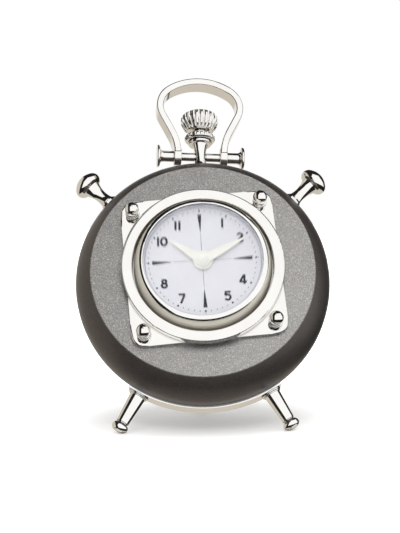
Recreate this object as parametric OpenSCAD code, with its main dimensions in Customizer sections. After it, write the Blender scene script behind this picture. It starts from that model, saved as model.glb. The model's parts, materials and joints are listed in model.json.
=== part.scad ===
// Leaning table clock in the shape of a pocket watch: a painted drum on three
// turned legs, with a pull-out quartz insert and a swinging bow on top.
// All sizes are millimetres. World frame: +X right, -Y towards the viewer, +Z up.
// Clock frame, used inside tilt(): x right, y up along the face, z out of the face,
// with z = 0 on the painted face and the drum's axis along z.

/* [Drum] */
// largest diameter of the drum
body_d = 126; // [118:1:140]
// width of the curved shoulder round the flat face, seen from the front
rim_w = 8.6; // [7:0.2:11]
// thickness of the drum from the flat face to the flat back
body_depth = 38; // [34:1:44]
// straight belt between the front curve and the back curve
belt_h = 2; // [1:0.5:4]
// wall of the casting round the rim
wall = 3; // [2:0.5:4]
// wall of the casting behind the flat face
front_wall = 3.5; // [2.5:0.5:5]
// wall of the casting at the flat back
back_wall = 4.5; // [4:0.5:6]
// flat ring of casting left round the back cover
hatch_rim = 14.5; // [12:0.5:18]
// thickness of the back cover
hatch_t = 2; // [1.5:0.1:2.5]
// ledge that carries the back cover
ledge_w = 4; // [3:0.2:6]
// angle the clock leans back from upright
lean = 25; // [15:1:32]

/* [Plate and bezel] */
// plate thickness
plate_t = 2.5; // [1.5:0.1:3.5]
// rounding of the plate's front edge
plate_edge = 1.1; // [0.5:0.1:1.5]
// turn of the plate on the face, counter-clockwise seen from the front
plate_turn = 5; // [0:0.5:8]
// plate left outside the foot of a corner post
plate_margin = 2.65; // [1.5:0.05:4]
// plate left outside the bezel at the middle of its bowed sides
plate_rim = 0.2; // [0.1:0.1:1]
// groove between the insert's ring and the bezel
bezel_gap = 0.65; // [0.4:0.05:2]
// width of the bezel's face
bezel_w = 5.2; // [4:0.1:7]
// height of the bezel above the plate
bezel_h = 4.6; // [3.4:0.1:6]
// rounding of the bezel's outer shoulder
bezel_round = 0.6; // [0.3:0.1:2]
// rounding of the bezel's inner edge
bezel_lip = 0.4; // [0.3:0.1:0.9]
// rise of the bezel's domed face
bezel_dome = 0.2; // [0.1:0.05:0.6]
// cove cut under the bezel's inner edge
cove_r = 1.3; // [0.8:0.1:1.5]
// gap from the bezel to the foot of a post
post_gap = 1.75; // [1:0.05:3]
// ball of a post
ball_d = 6.9; // [5:0.1:8]
// foot ring of a post
post_foot_d = 6.7; // [5.5:0.1:8]
// neck of a post
post_neck_d = 4; // [3:0.1:5]
// height of the ball above the plate
post_h = 1.8; // [1.5:0.1:4]
// threaded tail of a post
post_tail_d = 3; // [2.5:0.1:4]

/* [Quartz insert] */
// outside diameter of the insert's front ring
ring_d = 60.5; // [55:0.5:63]
// height of the ring from its seat to its front
ring_h = 10.35; // [9:0.05:13]
// lip of the ring round the crystal
ring_lip = 1.5; // [1:0.1:2]
// wall of the ring behind the dial
ring_wall = 3.1; // [2.6:0.1:3.6]
// rounding of the ring's front edge
ring_round = 2.6; // [1:0.1:3]
// slope of the ring's skirt
ring_draft = 15; // [0:1:20]
// upright foot of the skirt
ring_foot = 1.2; // [0.6:0.1:2]
// front of the ring above the crystal's edge
lens_drop = 0.2; // [0:0.1:0.5]
// crystal thickness
lens_t = 1.15; // [0.8:0.05:1.5]
// rise of the domed crystal
lens_dome = 1.5; // [1:0.1:2.5]
// space between dial and crystal at their edge
dial_space = 1.65; // [1.5:0.05:2.5]
// dial thickness
dial_t = 0.5; // [0.3:0.1:0.8]
// hole in the dial
dial_hole_d = 4.6; // [4.2:0.1:6]
// depth that the insert's can reaches behind the painted face
can_depth = 13; // [10:0.5:15]
// wall of the can
can_wall = 1.5; // [1.2:0.1:2]
// width of the rubber gasket
gasket_w = 4.8; // [3:0.2:6]
// rubber standing out of the can
gasket_h = 1.3; // [1:0.1:1.6]
// groove in the can that holds the gasket
gasket_groove = 0.5; // [0.3:0.1:0.7]
// turn of the dial in the case, counter-clockwise seen from the front
dial_turn = 2; // [0:0.5:4]
// hour shown
show_h = 10; // [0:1:11]
// minute shown
show_m = 10.5; // [0:0.5:59.5]

/* [Hands and motion work] */
// distance between the wheels' axes
gear_cd = 9; // [8:0.1:9.5]
// thickness of a wheel
gear_t = 1; // [0.8:0.05:1.1]
// outside diameter of the hour wheel's pipe
pipe_d = 3.8; // [3.4:0.1:4]
// pipe of the centre arbor that carries the minute pinion
centre_d = 2.4; // [2.2:0.1:2.8]
// thin ends of the centre arbor, and the post of the minute wheel
pivot_d = 1.6; // [1.2:0.1:1.8]
// setting shaft
set_d = 2; // [1.6:0.1:2.4]
// thickness of the main plate
main_t = 1; // [0.8:0.1:1.4]
// thickness of the cover plate
cover_t = 0.8; // [0.6:0.1:1]
// thickness of a hand
hand_t = 0.3; // [0.2:0.05:0.4]
// length of the hour hand
hour_len = 19; // [15:0.2:21]
// width of the hour hand at its boss
hour_w = 5.6; // [3:0.1:7]
// width of the hour hand half way along
hour_mid_w = 3.3; // [2:0.1:4]
// boss of the hour hand
hour_boss_d = 9.4; // [7:0.2:10]
// length of the minute hand
minute_len = 22.2; // [18:0.2:24]
// width of the minute hand at its boss
minute_w = 4.6; // [2.4:0.1:6]
// width of the minute hand half way along
minute_mid_w = 3.6; // [2:0.1:4]
// boss of the minute hand
minute_boss_d = 6.8; // [6:0.2:9]
// width of both hands at the tip
tip_w = 0.8; // [0.4:0.05:1.2]
// cap over the hands
cap_d = 5.4; // [4:0.2:6.4]
// height of the cap
cap_h = 0.95; // [0.8:0.05:1]

/* [Movement] */
// cell diameter
cell_d = 11.6; // [9.5:0.1:11.6]
// cell height
cell_h = 5.4; // [3:0.1:5.4]
// place of the cell's axis, right of the dial's centre
cell_x = -9; // [-11:0.5:-8]
// place of the cell's axis, above the dial's centre
cell_y = 9; // [8:0.5:11]
// coil diameter over the winding
coil_d = 5.2; // [4:0.1:6]
// coil length between its flanges
coil_len = 11.4; // [9:0.2:12]
// place of the coil's left end, right of the dial's centre
coil_x = 3.6; // [3:0.2:6]
// height of the coil above the dial's centre
coil_y = 10.2; // [9:0.2:12]
// length of the circuit board
board_w = 17.2; // [14:0.2:19]
// height of the circuit board
board_h = 10.2; // [8:0.2:11]
// thickness of the circuit board
board_t = 0.9; // [0.6:0.1:1.2]
// setting knob
knob_d = 9.2; // [7:0.2:10]
// thickness of the knob
knob_t = 2.7; // [2:0.1:3]

/* [Top] */
// height of the cross bar above the drum's rim
bar_rise = 6.4; // [5.8:0.1:9]
// turn of the stem with its bar and bow, right end backwards
top_turn = 6.5; // [0:0.5:12]
// waist of the stem
stem_d = 5.5; // [4.5:0.1:6]
// stem where it meets the drum and the bead
stem_end_d = 8.2; // [7:0.1:9]
// threaded tail of the stem
stem_tail_d = 5; // [4:0.2:6]
// bead under the collar
bead_d = 12.2; // [10:0.2:13.5]
// thickness of the bead
bead_t = 1.9; // [1.4:0.1:2.6]
// height of the bead above the cross bar
bead_rise = 7.9; // [5:0.1:8]
// pin through the collar and the crown
crown_pin_d = 3; // [2:0.1:4]
// fluted collar
collar_d = 15.9; // [13.5:0.1:17]
// thickness of the collar
collar_t = 3.5; // [3:0.1:5]
// neck between the collar and the crown
neck_d = 6.8; // [5.5:0.1:9]
// length of the neck
neck_len = 1.7; // [1.2:0.1:3]
// largest diameter of the crown
crown_d = 19.6; // [16:0.2:21]
// crown where its bowl starts
crown_low_d = 8.6; // [7.5:0.1:12]
// height of the crown's bowl
bowl_h = 7.2; // [6:0.1:9]
// height of the crown's dome
dome_h = 5; // [4:0.1:6]
// rounding of the crown's edge
crown_round = 3.2; // [2:0.1:3.5]
// flutes round the crown, and round the collar
crown_flutes = 24; // [16:1:28]
// width of a flute
flute_w = 2.1; // [1.2:0.1:2.2]

/* [Bow and bar] */
// bow strap, thickness seen from the front
bow_t = 3.6; // [3:0.1:5]
// bow strap, depth front to back
bow_w = 9.2; // [6:0.2:10]
// rounding of the strap's long edges
bow_edge = 0.8; // [0.6:0.1:1.4]
// height of the bow's middle line above the cross bar
bow_h = 42.8; // [38:0.1:46]
// width of the bow, middle line to middle line
bow_span = 42; // [38:0.2:44]
// radius of the bow's top
bow_top_r = 28; // [24:0.5:34]
// radius of the bow's upper corners
bow_corner_r = 12; // [9:0.5:14]
// radius of the outswept feet
bow_foot_r = 30; // [24:0.5:36]
// slope of the straight sides
bow_slope = 26.6; // [20:0.5:30]
// pin through the stem
pin_d = 3; // [2:0.1:3.4]
// journal that the bow's eye turns on
journal_d = 4.4; // [4:0.1:5]
// bar outside the bow
shoulder_d = 5.8; // [5.2:0.1:7]
// length of bar from the bow to the flange
shoulder_len = 5; // [4:0.1:8]
// flange on the bar's end
flange_d = 11.8; // [10:0.2:13]
// thickness of the flange
flange_t = 1.5; // [1:0.1:2.2]
// length of the trumpet behind the flange
trumpet_len = 2.1; // [1:0.1:3]

/* [Pushers] */
// angle of the pushers from the top of the face
pusher_ang = 46.8; // [40:0.2:55]
// threaded tail of the pushers and of the legs
stud_d = 4; // [3:0.1:5]
// foot flange of a pusher
pusher_foot_d = 9.2; // [8:0.1:11]
// height of the foot flange above the drum
pusher_foot_h = 2.4; // [1.2:0.1:3]
// waist of a pusher
pusher_waist_d = 6; // [5:0.1:7]
// pusher where its neck meets the head
pusher_neck_d = 10.4; // [8:0.1:11]
// head of a pusher
pusher_head_d = 14.8; // [12:0.2:17]
// rounding of the head's edge
pusher_round = 3.1; // [2:0.1:3.5]
// length of the neck, from the foot flange to the head
pusher_neck_len = 11.5; // [7:0.1:13]
// height of the head's widest place above its back
pusher_back_h = 2.4; // [1.5:0.1:3]
// height of the dome above the widest place
pusher_dome_h = 5; // [3.6:0.1:6]

/* [Stand] */
// splay of the front legs from the vertical of the face
leg_splay = 29.8; // [22:0.2:36]
// cradle band under the drum, thickness
band_t = 1.4; // [1:0.1:2.5]
// cradle band, width front to back
band_w = 9; // [7:0.2:12]
// band past the middle of each leg
band_end = 5.8; // [5:0.1:9]
// length of a front leg from the band to the foot
leg_len = 15.7; // [12:0.1:22]
// leg diameter at the top
leg_top_d = 8.2; // [6.5:0.1:9]
// leg diameter at the foot
leg_low_d = 6.3; // [5:0.1:7.5]
// ring at the top of a leg
leg_ring_d = 10.4; // [9:0.1:12]
// thickness of that ring
leg_ring_t = 1; // [0.6:0.1:1.6]
// foot diameter
foot_d = 8.3; // [7:0.1:10]
// foot thickness at its rounded edge
foot_t = 4.2; // [3:0.1:5]
// rise of the foot's domed end
foot_dome = 0.55; // [0.3:0.05:1]
// flat ground on each foot where it stands
foot_flat = 0.3; // [0.2:0.05:0.5]
// distance of the rear leg below the middle of the back
rear_drop = 47.2; // [45:0.1:48]

/* [Hidden] */
$fn = 96;
// clearances: turning shafts, tails in their holes, pieces let into one another
run_gap = 0.06;
tail_gap = 0.04;
fit_gap = 0.1;
slide_gap = 0.2;
seat_gap = 0.15;
skin = 0.02;

R = body_d / 2;
Rf = R - rim_w;
z_back = -body_depth;
z_mid = -body_depth / 2;
zf = z_mid + belt_h / 2;
zb = z_mid - belt_h / 2;
// radius of the rim's curve: it passes the face's edge and meets the belt upright
arc_r = (rim_w * rim_w + zf * zf) / (2 * rim_w);
arc_x = R - arc_r;
hatch_r = Rf - hatch_rim;
opening_r = hatch_r - ledge_w;
// cover screws
screw_d = 1.8;
screw_head_d = 3.6;
screw_head_h = 1.1;
screw_len = hatch_t + 1.6;
screw_in = screw_head_d / 2 + fit_gap;

// insert, from the ring inwards
ring_r = ring_d / 2;
seat_z = plate_t + seat_gap;
ring_top = seat_z + ring_h;
lip_r = ring_r - ring_lip;
// the skirt leaves the rounded face at a tangent and slopes out to its foot
ring_cx = ring_r - ring_round / 2;
skirt_r = ring_round - skin;
skirt = [ring_cx + skirt_r * cos(ring_draft), ring_top - ring_round + skirt_r * sin(ring_draft)];
foot_ring_r = skirt[0] + (skirt[1] - seat_z - ring_foot) * tan(ring_draft);
lens_r = lip_r - run_gap;
lens_z = ring_top - lens_drop - lens_t;
dial_z = lens_z - dial_space - dial_t;
can_r = ring_r - ring_wall - slide_gap;
bore_r = can_r + gasket_h + fit_gap;
can_z = -can_depth;
floor_t = 1.4;

// plate, bezel and posts, from the insert outwards
bezel_in = foot_ring_r + bezel_gap;
bezel_r = bezel_in + bezel_w;
bezel_z = plate_t + bezel_h;
post_r = bezel_r + post_gap + post_foot_d / 2;
post_xy = post_r / sqrt(2);
plate_r = post_foot_d / 2 + plate_margin;
plate_h = bezel_r + plate_rim;
plate_bow = max(plate_h - post_xy - plate_r, 0.3);
plate_k = plate_r + plate_bow;
plate_side_r = (plate_k * plate_k + post_xy * post_xy - plate_r * plate_r) / (2 * plate_bow);
post_nut_d = 2 * post_tail_d + 0.2;
post_nut_t = 0.8 * post_tail_d;

// heights of the top pieces along y
bar_y = R + bar_rise;
bead_y = bar_y + bead_rise;
collar_y = bead_y + bead_t / 2 + skin;
crown_y = collar_y + collar_t + skin;
bowl_y = crown_y + neck_len;
crown_w_y = bowl_y + bowl_h;
crown_top = crown_w_y + dome_h;
tail_len = 3.1;
stem_nut_d = 1.84 * stem_tail_d;
stem_nut_t = 2.8;
stem_tail = wall + stem_nut_t + 0.8;

// bow: centres and ends of its tangent arcs, in its own plane
bow_top = bar_y + bow_h;
bow_a = asin((bow_span / 2 - bow_corner_r) / (bow_top_r - bow_corner_r));
bow_c1 = [0, bow_top - bow_top_r];
bow_c2 = bow_c1 + (bow_top_r - bow_corner_r) * [sin(bow_a), cos(bow_a)];
bow_p2 = bow_c2 + bow_corner_r * [cos(bow_slope), -sin(bow_slope)];
bow_len = (bow_p2[1] - bar_y - bow_foot_r * sin(bow_slope)) / cos(bow_slope);
bow_p3 = bow_p2 - bow_len * [sin(bow_slope), cos(bow_slope)];
eye_x = bow_p3[0] - bow_foot_r * (1 - cos(bow_slope));
bow_c3 = [eye_x + bow_foot_r, bar_y];
eye_r = bow_w / 2 + seat_gap;
eye_t = bow_t + slide_gap;
eye_round = 0.5;
sleeve_in = stem_d / 2 + 0.25;
shoulder_x = eye_x + eye_t / 2 + seat_gap;
flange_x = shoulder_x + shoulder_len + trumpet_len;
bar_end = flange_x + flange_t;

// stand
stand_z = z_mid - band_w / 2;
band_r = R + fit_gap + band_t;
foot_r = foot_d / 2;
foot_e = foot_t / 2;
foot_neck = 0.4;
leg_pin_d = 3;
foot_reach = band_r + leg_len + foot_neck + foot_e;
// the lowest point of each foot decides how high the drum stands
front_c = cos(leg_splay) * cos(lean);
front_low = -foot_reach * front_c + stand_z * sin(lean)
  - (foot_r - foot_e) * sqrt(1 - front_c * front_c) - foot_e;
stand_h = -front_low - foot_flat;
rear_y = -rear_drop;
rear_len = (rear_y * cos(lean) + z_back * sin(lean) + stand_h
  - (foot_r - foot_e) * cos(lean) - foot_e + foot_flat) / sin(lean);
// the clock reaches from the lower corner posts to the back of the bow's top;
// this shift puts its middle over the origin
ball_z = plate_t + post_h + ball_d / 2;
reach_front = post_r * sin(45 + plate_turn) * sin(lean) + ball_z * cos(lean) + ball_d / 2;
bow_slant = sqrt(pow(sin(lean), 2) + pow(cos(lean) * sin(top_turn), 2));
reach_back = (bow_top - bow_top_r) * sin(lean) + (bow_top_r + bow_t / 2 - bow_edge) * bow_slant
  - z_mid * cos(lean) + (bow_w / 2 - bow_edge) * cos(lean) * cos(top_turn) + bow_edge;
frame_y = (reach_front - reach_back) / 2;

// motion work: minute pinion, minute wheel with its pinion, hour wheel, set pinion
t_cannon = 12;
t_mwheel = 36;
t_mpinion = 10;
t_hour = 40;
m_a = 2 * gear_cd / (t_cannon + t_mwheel);
m_b = 2 * gear_cd / (t_mpinion + t_hour);
mw_pos = [0, -gear_cd];
set_dir = -30;
set_pos = [gear_cd * cos(set_dir), -gear_cd + gear_cd * sin(set_dir)];
// heights, from the dial down: cover plate, hour wheel, minute wheel, main plate
level_gap = 0.2;
cover_z = dial_z - level_gap - cover_t;
hour_z = cover_z - 1.1 - gear_t;
mw_z = hour_z - 0.5 - gear_t;
main_z = mw_z - level_gap - main_t;
hub_z = dial_z + dial_t;
hour_hand_z = hub_z + 0.6;
minute_hand_z = hour_hand_z + hand_t + 0.32;
cap_z = minute_hand_z + hand_t + skin;
hour_ang = -(show_h + show_m / 60) * 30 + dial_turn;
min_ang = -show_m * 6 + dial_turn;
move_r = can_r - can_wall - 0.3;
pillar_r = 0.83 * move_r;
pillar_d = 3.2;
rivet_d = 1.4;

// movement
house_z = can_z + floor_t + fit_gap;
cell_pos = [cell_x, cell_y];
cap_r = cell_d / 2 + 1.2;
cover_d = 2 * cap_r - slide_gap;
cell_z = can_z + 2.3;
coil_z = house_z + 3.1;
well_top = cell_z + cell_h + 0.3;
board_gap_x = 1.4;
board_gap_y = 2.4;
board_rise = 4;
board_x = -board_w - board_gap_x;
board_y = -board_h - board_gap_y;
board_z = can_z + board_rise;
knob_gap = 0.3;

nickel = [0.80, 0.79, 0.76];
paint = [0.45, 0.43, 0.42];
brass = [0.85, 0.75, 0.4];
black = [0.12, 0.12, 0.13];
cream = [0.93, 0.92, 0.86];

// places what is drawn in the clock frame
module tilt() {
  translate([0, frame_y, stand_h]) rotate([90 - lean, 0, 0]) children();
}

// turns the z axis to point away from the drum's axis, ang from straight up,
// counter-clockwise seen from the front, at depth z
module radial(ang, z) {
  rotate([0, 0, ang]) translate([0, 0, z]) rotate([-90, 0, 0]) children();
}

// turns the pieces above the drum about the stem's axis
module top_part() {
  tilt() translate([0, 0, z_mid]) rotate([0, top_turn, 0]) children();
}

// the four corner posts' places on the turned plate
module at_posts() {
  for (i = [0 : 3]) rotate([0, 0, i * 90 + plate_turn]) translate([post_xy, post_xy, 0]) children();
}

// the four screws of the back cover
module at_screws() {
  for (i = [0 : 3]) rotate([0, 0, i * 90 + 45]) translate([hatch_r - screw_in, 0, z_back])
    children();
}

// the three pillars of the motion work
module at_pillars() {
  for (i = [0 : 2]) rotate([0, 0, i * 120 + 90]) translate([pillar_r, 0, 0]) children();
}

module rod(d, z0, z1) {
  translate([0, 0, z0]) cylinder(r = d / 2, h = z1 - z0);
}

// profile helpers: x is the radius, y the height
module ring2d(r0, r1, z0, z1) {
  translate([r0, z0]) square([r1 - r0, z1 - z0]);
}

module right_half() {
  translate([0, -2 * body_d]) square([2 * body_d, 4 * body_d]);
}

// disc with a fully rounded rim, its middle at height z
module pill2d(r, t, z) {
  translate([0, z - t / 2]) square([r - t / 2, t]);
  translate([r - t / 2, z]) circle(r = t / 2);
}

// flare from radius r0 at height 0 to r1 at height h, its side hollow and upright at the start
module flare2d(r0, r1, h) {
  rho = (h * h + (r1 - r0) * (r1 - r0)) / (2 * (r1 - r0));
  difference() {
    square([r1, h]);
    translate([r0 + rho, 0]) circle(r = rho);
  }
}

// button: widest radius r at height 0 with edge radius t, and a dome up to height h
module button2d(r, t, h) {
  e = r - t;
  d = (e * e + h * h - t * t) / (2 * (h - t));
  intersection() {
    translate([0, h - d]) circle(r = d);
    square([e * d / (d - t), h]);
  }
  intersection() {
    translate([e, 0]) circle(r = t);
    square([r, t]);
  }
}

// drum section grown or shrunk by d, between two heights
module drum2d(d, z0, z1) {
  intersection() {
    union() {
      translate([arc_x, zf]) circle(r = arc_r + d);
      translate([arc_x, zb]) circle(r = arc_r + d);
      translate([0, zb]) square([R + d, belt_h]);
      translate([0, z0]) square([arc_x, z1 - z0]);
    }
    translate([0, z0]) square([R + abs(d), z1 - z0]);
  }
}

// spur gear section with short involute teeth; tooth 0 points along +x
function inv_pt(rb, a) = let (t = a * 180 / PI)
  [rb * (cos(t) + a * sin(t)), rb * (sin(t) - a * cos(t))];
function inv_at(rb, r) = r <= rb ? 0 : sqrt(pow(r / rb, 2) - 1);
function inv_ang(rb, r) = let (p = inv_pt(rb, inv_at(rb, r))) atan2(p[1], p[0]);
function tooth_half(m, n, r, pa, bl) = let (rp = m * n / 2, rb = rp * cos(pa))
  90 / n - bl * m / rp * 90 / PI + inv_ang(rb, rp) - inv_ang(rb, max(r, rb));
module gear2d(m, n, pa = 24, add = 0.8, ded = 1.05, bl = 0.24) {
  rp = m * n / 2;
  rr = rp - ded * m;
  rs = [rr, max(rr + 0.1 * m, rp * cos(pa)), rp, rp + add * m / 2, rp + add * m];
  polygon([for (i = [0 : n - 1]) each concat(
    [for (j = [0 : 4]) let (r = rs[j], a = i * 360 / n - tooth_half(m, n, r, pa, bl))
      [r * cos(a), r * sin(a)]],
    [for (j = [4 : -1 : 0]) let (r = rs[j], a = i * 360 / n + tooth_half(m, n, r, pa, bl))
      [r * cos(a), r * sin(a)]])]);
}

// hollow casting with a sleeve round the bore, and an opening in the back for the cover
module body_shell() {
  color(paint) tilt() difference() {
    rotate_extrude() difference() {
      drum2d(0, z_back, 0);
      difference() {
        drum2d(-wall, z_back + back_wall, -front_wall);
        ring2d(0, bore_r + front_wall, z_mid / 2, 0);
      }
      ring2d(0, bore_r, z_back, 1);
      ring2d(0, opening_r, z_back - 1, z_back + back_wall + 1);
      ring2d(0, hatch_r, z_back - 1, z_back + hatch_t);
    }
    at_posts() rod(post_tail_d + 2 * tail_gap, -front_wall - 1, 1);
    at_screws() rod(screw_d + 2 * tail_gap, 0, back_wall + 1);
    radial(0, z_mid) rod(stem_tail_d + 2 * tail_gap, R - 2 * wall, R + 1);
    for (a = [-1, 1]) radial(a * pusher_ang, z_mid)
      rod(stud_d + 2 * tail_gap, R - 2 * wall, R + 1);
    for (a = [-1, 1]) radial(180 + a * leg_splay, stand_z)
      rod(stud_d + 2 * tail_gap, R - 2 * wall, R + 1);
    translate([0, rear_y, z_back]) rod(stud_d + 2 * tail_gap, -1, back_wall + 1);
  }
}

// lid over the casting's back, let in flush and held by four screws
module back_cover() {
  color(paint) tilt() difference() {
    rotate_extrude() {
      ring2d(0, hatch_r - fit_gap, z_back, z_back + hatch_t);
      ring2d(0, opening_r - slide_gap, z_back + hatch_t - skin, z_back + 1.4 * hatch_t);
    }
    at_screws() rod(screw_d + 2 * tail_gap, -1, hatch_t + 1);
  }
}

module back_screws() {
  h = screw_head_h;
  cap = (screw_head_d * screw_head_d / 4 + h * h) / (2 * h);
  color(nickel) tilt() at_screws() difference() {
    rotate_extrude() {
      ring2d(0, screw_d / 2, -0.1, screw_len);
      intersection() {
        translate([0, cap - h]) circle(r = cap);
        ring2d(0, screw_head_d / 2, -h, 0);
      }
    }
    translate([-screw_head_d, -0.07 * screw_head_d, -1.5 * h])
      cube([2 * screw_head_d, 0.14 * screw_head_d, h]);
  }
}

// one bowed side of the plate: the four discs cut what lies inside all of them
module edge_disc(r) {
  rotate_extrude() {
    ring2d(0, r - plate_edge, 0, plate_t);
    ring2d(0, r, 0, plate_t - plate_edge);
    translate([r - plate_edge, plate_t - plate_edge]) circle(r = plate_edge);
  }
}

module side_disc(i) {
  rotate([0, 0, i * 90]) translate([plate_h - plate_side_r, 0, 0]) edge_disc(plate_side_r);
}

// plate with four bowed sides and round corners, all true arcs round the four posts,
// and a rounded front edge
module face_plate() {
  u = plate_side_r / (plate_side_r - plate_r);
  tx = plate_h - plate_side_r + (post_xy - plate_h + plate_side_r) * u;
  ty = post_xy * u;
  color(nickel) tilt() difference() {
    rotate([0, 0, plate_turn]) {
      intersection() {
        side_disc(0);
        side_disc(1);
        side_disc(2);
        side_disc(3);
        linear_extrude(plate_t) polygon([[tx, ty], [ty, tx], [-ty, tx], [-tx, ty],
          [-tx, -ty], [-ty, -tx], [ty, -tx], [tx, -ty]]);
      }
      for (sx = [-1, 1], sy = [-1, 1]) translate([sx * post_xy, sy * post_xy, 0])
        edge_disc(plate_r - skin);
    }
    rod(2 * bore_r, -1, plate_t + 1);
    at_posts() rod(post_tail_d + 2 * tail_gap, -1, plate_t + 1);
  }
}

// raised ring: a gently domed face, a rounded outer shoulder and a cove inside
module bezel_ring() {
  xi = bezel_in + bezel_lip;
  xo = bezel_r - bezel_round;
  zs = bezel_z - bezel_dome;
  half = (xo - xi) / 2;
  dome_r = (half * half + bezel_dome * bezel_dome) / (2 * bezel_dome);
  color(nickel) tilt() rotate_extrude() difference() {
    union() {
      ring2d(bezel_in, bezel_r, plate_t, zs - bezel_round);
      ring2d(bezel_in, xo, plate_t, zs - bezel_lip);
      ring2d(xi, xo, plate_t, zs);
      translate([xo, zs - bezel_round]) circle(r = bezel_round);
      translate([xi, zs - bezel_lip]) circle(r = bezel_lip);
      intersection() {
        translate([(xi + xo) / 2, bezel_z - dome_r]) circle(r = dome_r);
        ring2d(xi, xo, plate_t, bezel_z + 1);
      }
    }
    translate([bezel_in - cove_r / 2, plate_t + 1.1 * cove_r]) circle(r = cove_r);
  }
}

// ball-headed posts that clamp the plate to the face
module ball_posts() {
  br = ball_d / 2;
  bz = plate_t + post_h + br;
  step = 0.32 * post_h;
  color(nickel) tilt() at_posts() rotate_extrude() intersection() {
    right_half();
    union() {
      ring2d(0, post_tail_d / 2, -front_wall - post_nut_t - 0.7, bz);
      pill2d(post_foot_d / 2, 1.15 * step, plate_t + 0.575 * step);
      pill2d(0.82 * post_foot_d / 2, step, plate_t + 1.6 * step);
      ring2d(0, post_neck_d / 2, plate_t, bz);
      translate([0, bz]) circle(r = br);
    }
  }
}

module post_nuts() {
  color(nickel) tilt() at_posts() translate([0, 0, -front_wall - post_nut_t]) difference() {
    linear_extrude(post_nut_t) circle(r = post_nut_d / 2, $fn = 6);
    rod(post_tail_d + 2 * tail_gap, -1, post_nut_t + 1);
  }
}

// turned stem: threaded tail, flared foot, waist at the cross bar, bead, and a pin above
module stem() {
  foot_h = bar_rise + 1;
  top_h = bead_rise - bead_t / 2;
  color(nickel) tilt() difference() {
    union() {
      difference() {
        radial(0, z_mid) rotate_extrude() intersection() {
          right_half();
          union() {
            translate([0, bar_y]) mirror([0, 1]) flare2d(stem_d / 2, stem_end_d / 2, foot_h);
            translate([0, bar_y]) flare2d(stem_d / 2, stem_end_d / 2, top_h);
            pill2d(bead_d / 2, bead_t, bead_y);
            ring2d(0, crown_pin_d / 2, bead_y, bowl_y + tail_len);
          }
        }
        translate([0, 0, z_back]) rod(body_d + 2 * skin, 0, body_depth);
      }
      radial(0, z_mid) rod(stem_tail_d, R - stem_tail, R + 0.1);
    }
    translate([0, bar_y, z_mid]) rotate([0, 90 + top_turn, 0])
      rod(pin_d + 2 * tail_gap, -stem_end_d, stem_end_d);
  }
}

module stem_nut() {
  // the nut's corners stay clear of the curved wall
  sag = R - wall - sqrt(pow(R - wall, 2) - pow(stem_nut_d / 2, 2)) + 0.3;
  color(nickel) tilt() radial(0, z_mid) translate([0, 0, R - wall - sag - stem_nut_t])
    difference() {
      linear_extrude(stem_nut_t) circle(r = stem_nut_d / 2, $fn = 6);
      rod(stem_tail_d + 2 * tail_gap, -1, stem_nut_t + 1);
    }
}

// fluted round collar between the bead and the crown
module collar() {
  color(nickel) tilt() radial(0, z_mid) translate([0, 0, collar_y]) difference() {
    rotate_extrude() difference() {
      pill2d(collar_d / 2, collar_t, collar_t / 2);
      ring2d(0, crown_pin_d / 2 + tail_gap, -1, collar_t + 1);
    }
    for (i = [0 : crown_flutes - 1]) rotate([0, 0, i * 360 / crown_flutes])
      translate([collar_d / 2 + 0.2 * flute_w, 0, 0]) rod(0.7 * flute_w, -1, collar_t + 1);
  }
}

// onion crown: neck, fluted bowl and smooth dome
module crown() {
  cr = crown_d / 2;
  low = crown_low_d / 2;
  bowl_r = (pow(cr - low, 2) + bowl_h * bowl_h) / (2 * (cr - low));
  // each flute is a cone laid along the bowl, shallow at the neck, and a rod over the edge
  p0 = [low + 0.6 * flute_w, -0.7 * flute_w];
  p1 = [cr + 0.25 * flute_w, bowl_h - 0.4 * flute_w];
  slope = atan2(p1[0] - p0[0], p1[1] - p0[1]);
  color(nickel) tilt() radial(0, z_mid) translate([0, 0, bowl_y]) difference() {
    rotate_extrude() difference() {
      union() {
        ring2d(0, neck_d / 2, -neck_len, bowl_h);
        intersection() {
          translate([cr - bowl_r, bowl_h]) circle(r = bowl_r);
          ring2d(0, cr, 0, bowl_h);
        }
        translate([0, bowl_h]) button2d(cr, crown_round, dome_h);
      }
      ring2d(0, crown_pin_d / 2 + tail_gap, -neck_len - 1, tail_len + skin);
    }
    for (i = [0 : crown_flutes - 1]) rotate([0, 0, i * 360 / crown_flutes]) {
      translate([p0[0], 0, p0[1]]) rotate([0, slope, 0])
        cylinder(r1 = flute_w / 8, r2 = flute_w / 2, h = norm(p1 - p0));
      translate([cr + 0.27 * flute_w, 0, bowl_h - 0.5 * flute_w]) rotate([0, -8, 0])
        rod(flute_w, 0, bowl_h);
    }
  }
}

// pin through the stem that holds the two bearing sleeves
module cross_bar() {
  color(nickel) top_part() translate([0, bar_y, 0]) rotate([0, 90, 0])
    rod(pin_d, -bar_end + flange_t / 2, bar_end - flange_t / 2);
}

// turned sleeves pushed on the pin from both ends: journal for the bow's eye, shoulder,
// trumpet and flange in one piece each
module bar_sleeves() {
  color(nickel) top_part() translate([0, bar_y, 0]) for (s = [-1, 1])
    rotate([0, s * 90, 0]) rotate_extrude() difference() {
      union() {
        ring2d(0, journal_d / 2, sleeve_in, shoulder_x + 0.1);
        ring2d(0, shoulder_d / 2, shoulder_x, flange_x);
        pill2d(flange_d / 2, flange_t, bar_end - flange_t / 2);
        translate([0, flange_x - trumpet_len])
          flare2d(shoulder_d / 2, flange_d / 2 - flange_t / 2, trumpet_len + flange_t / 4);
      }
      ring2d(-1, pin_d / 2 + tail_gap, 0, bar_end - flange_t / 2 + skin);
    }
}

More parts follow.
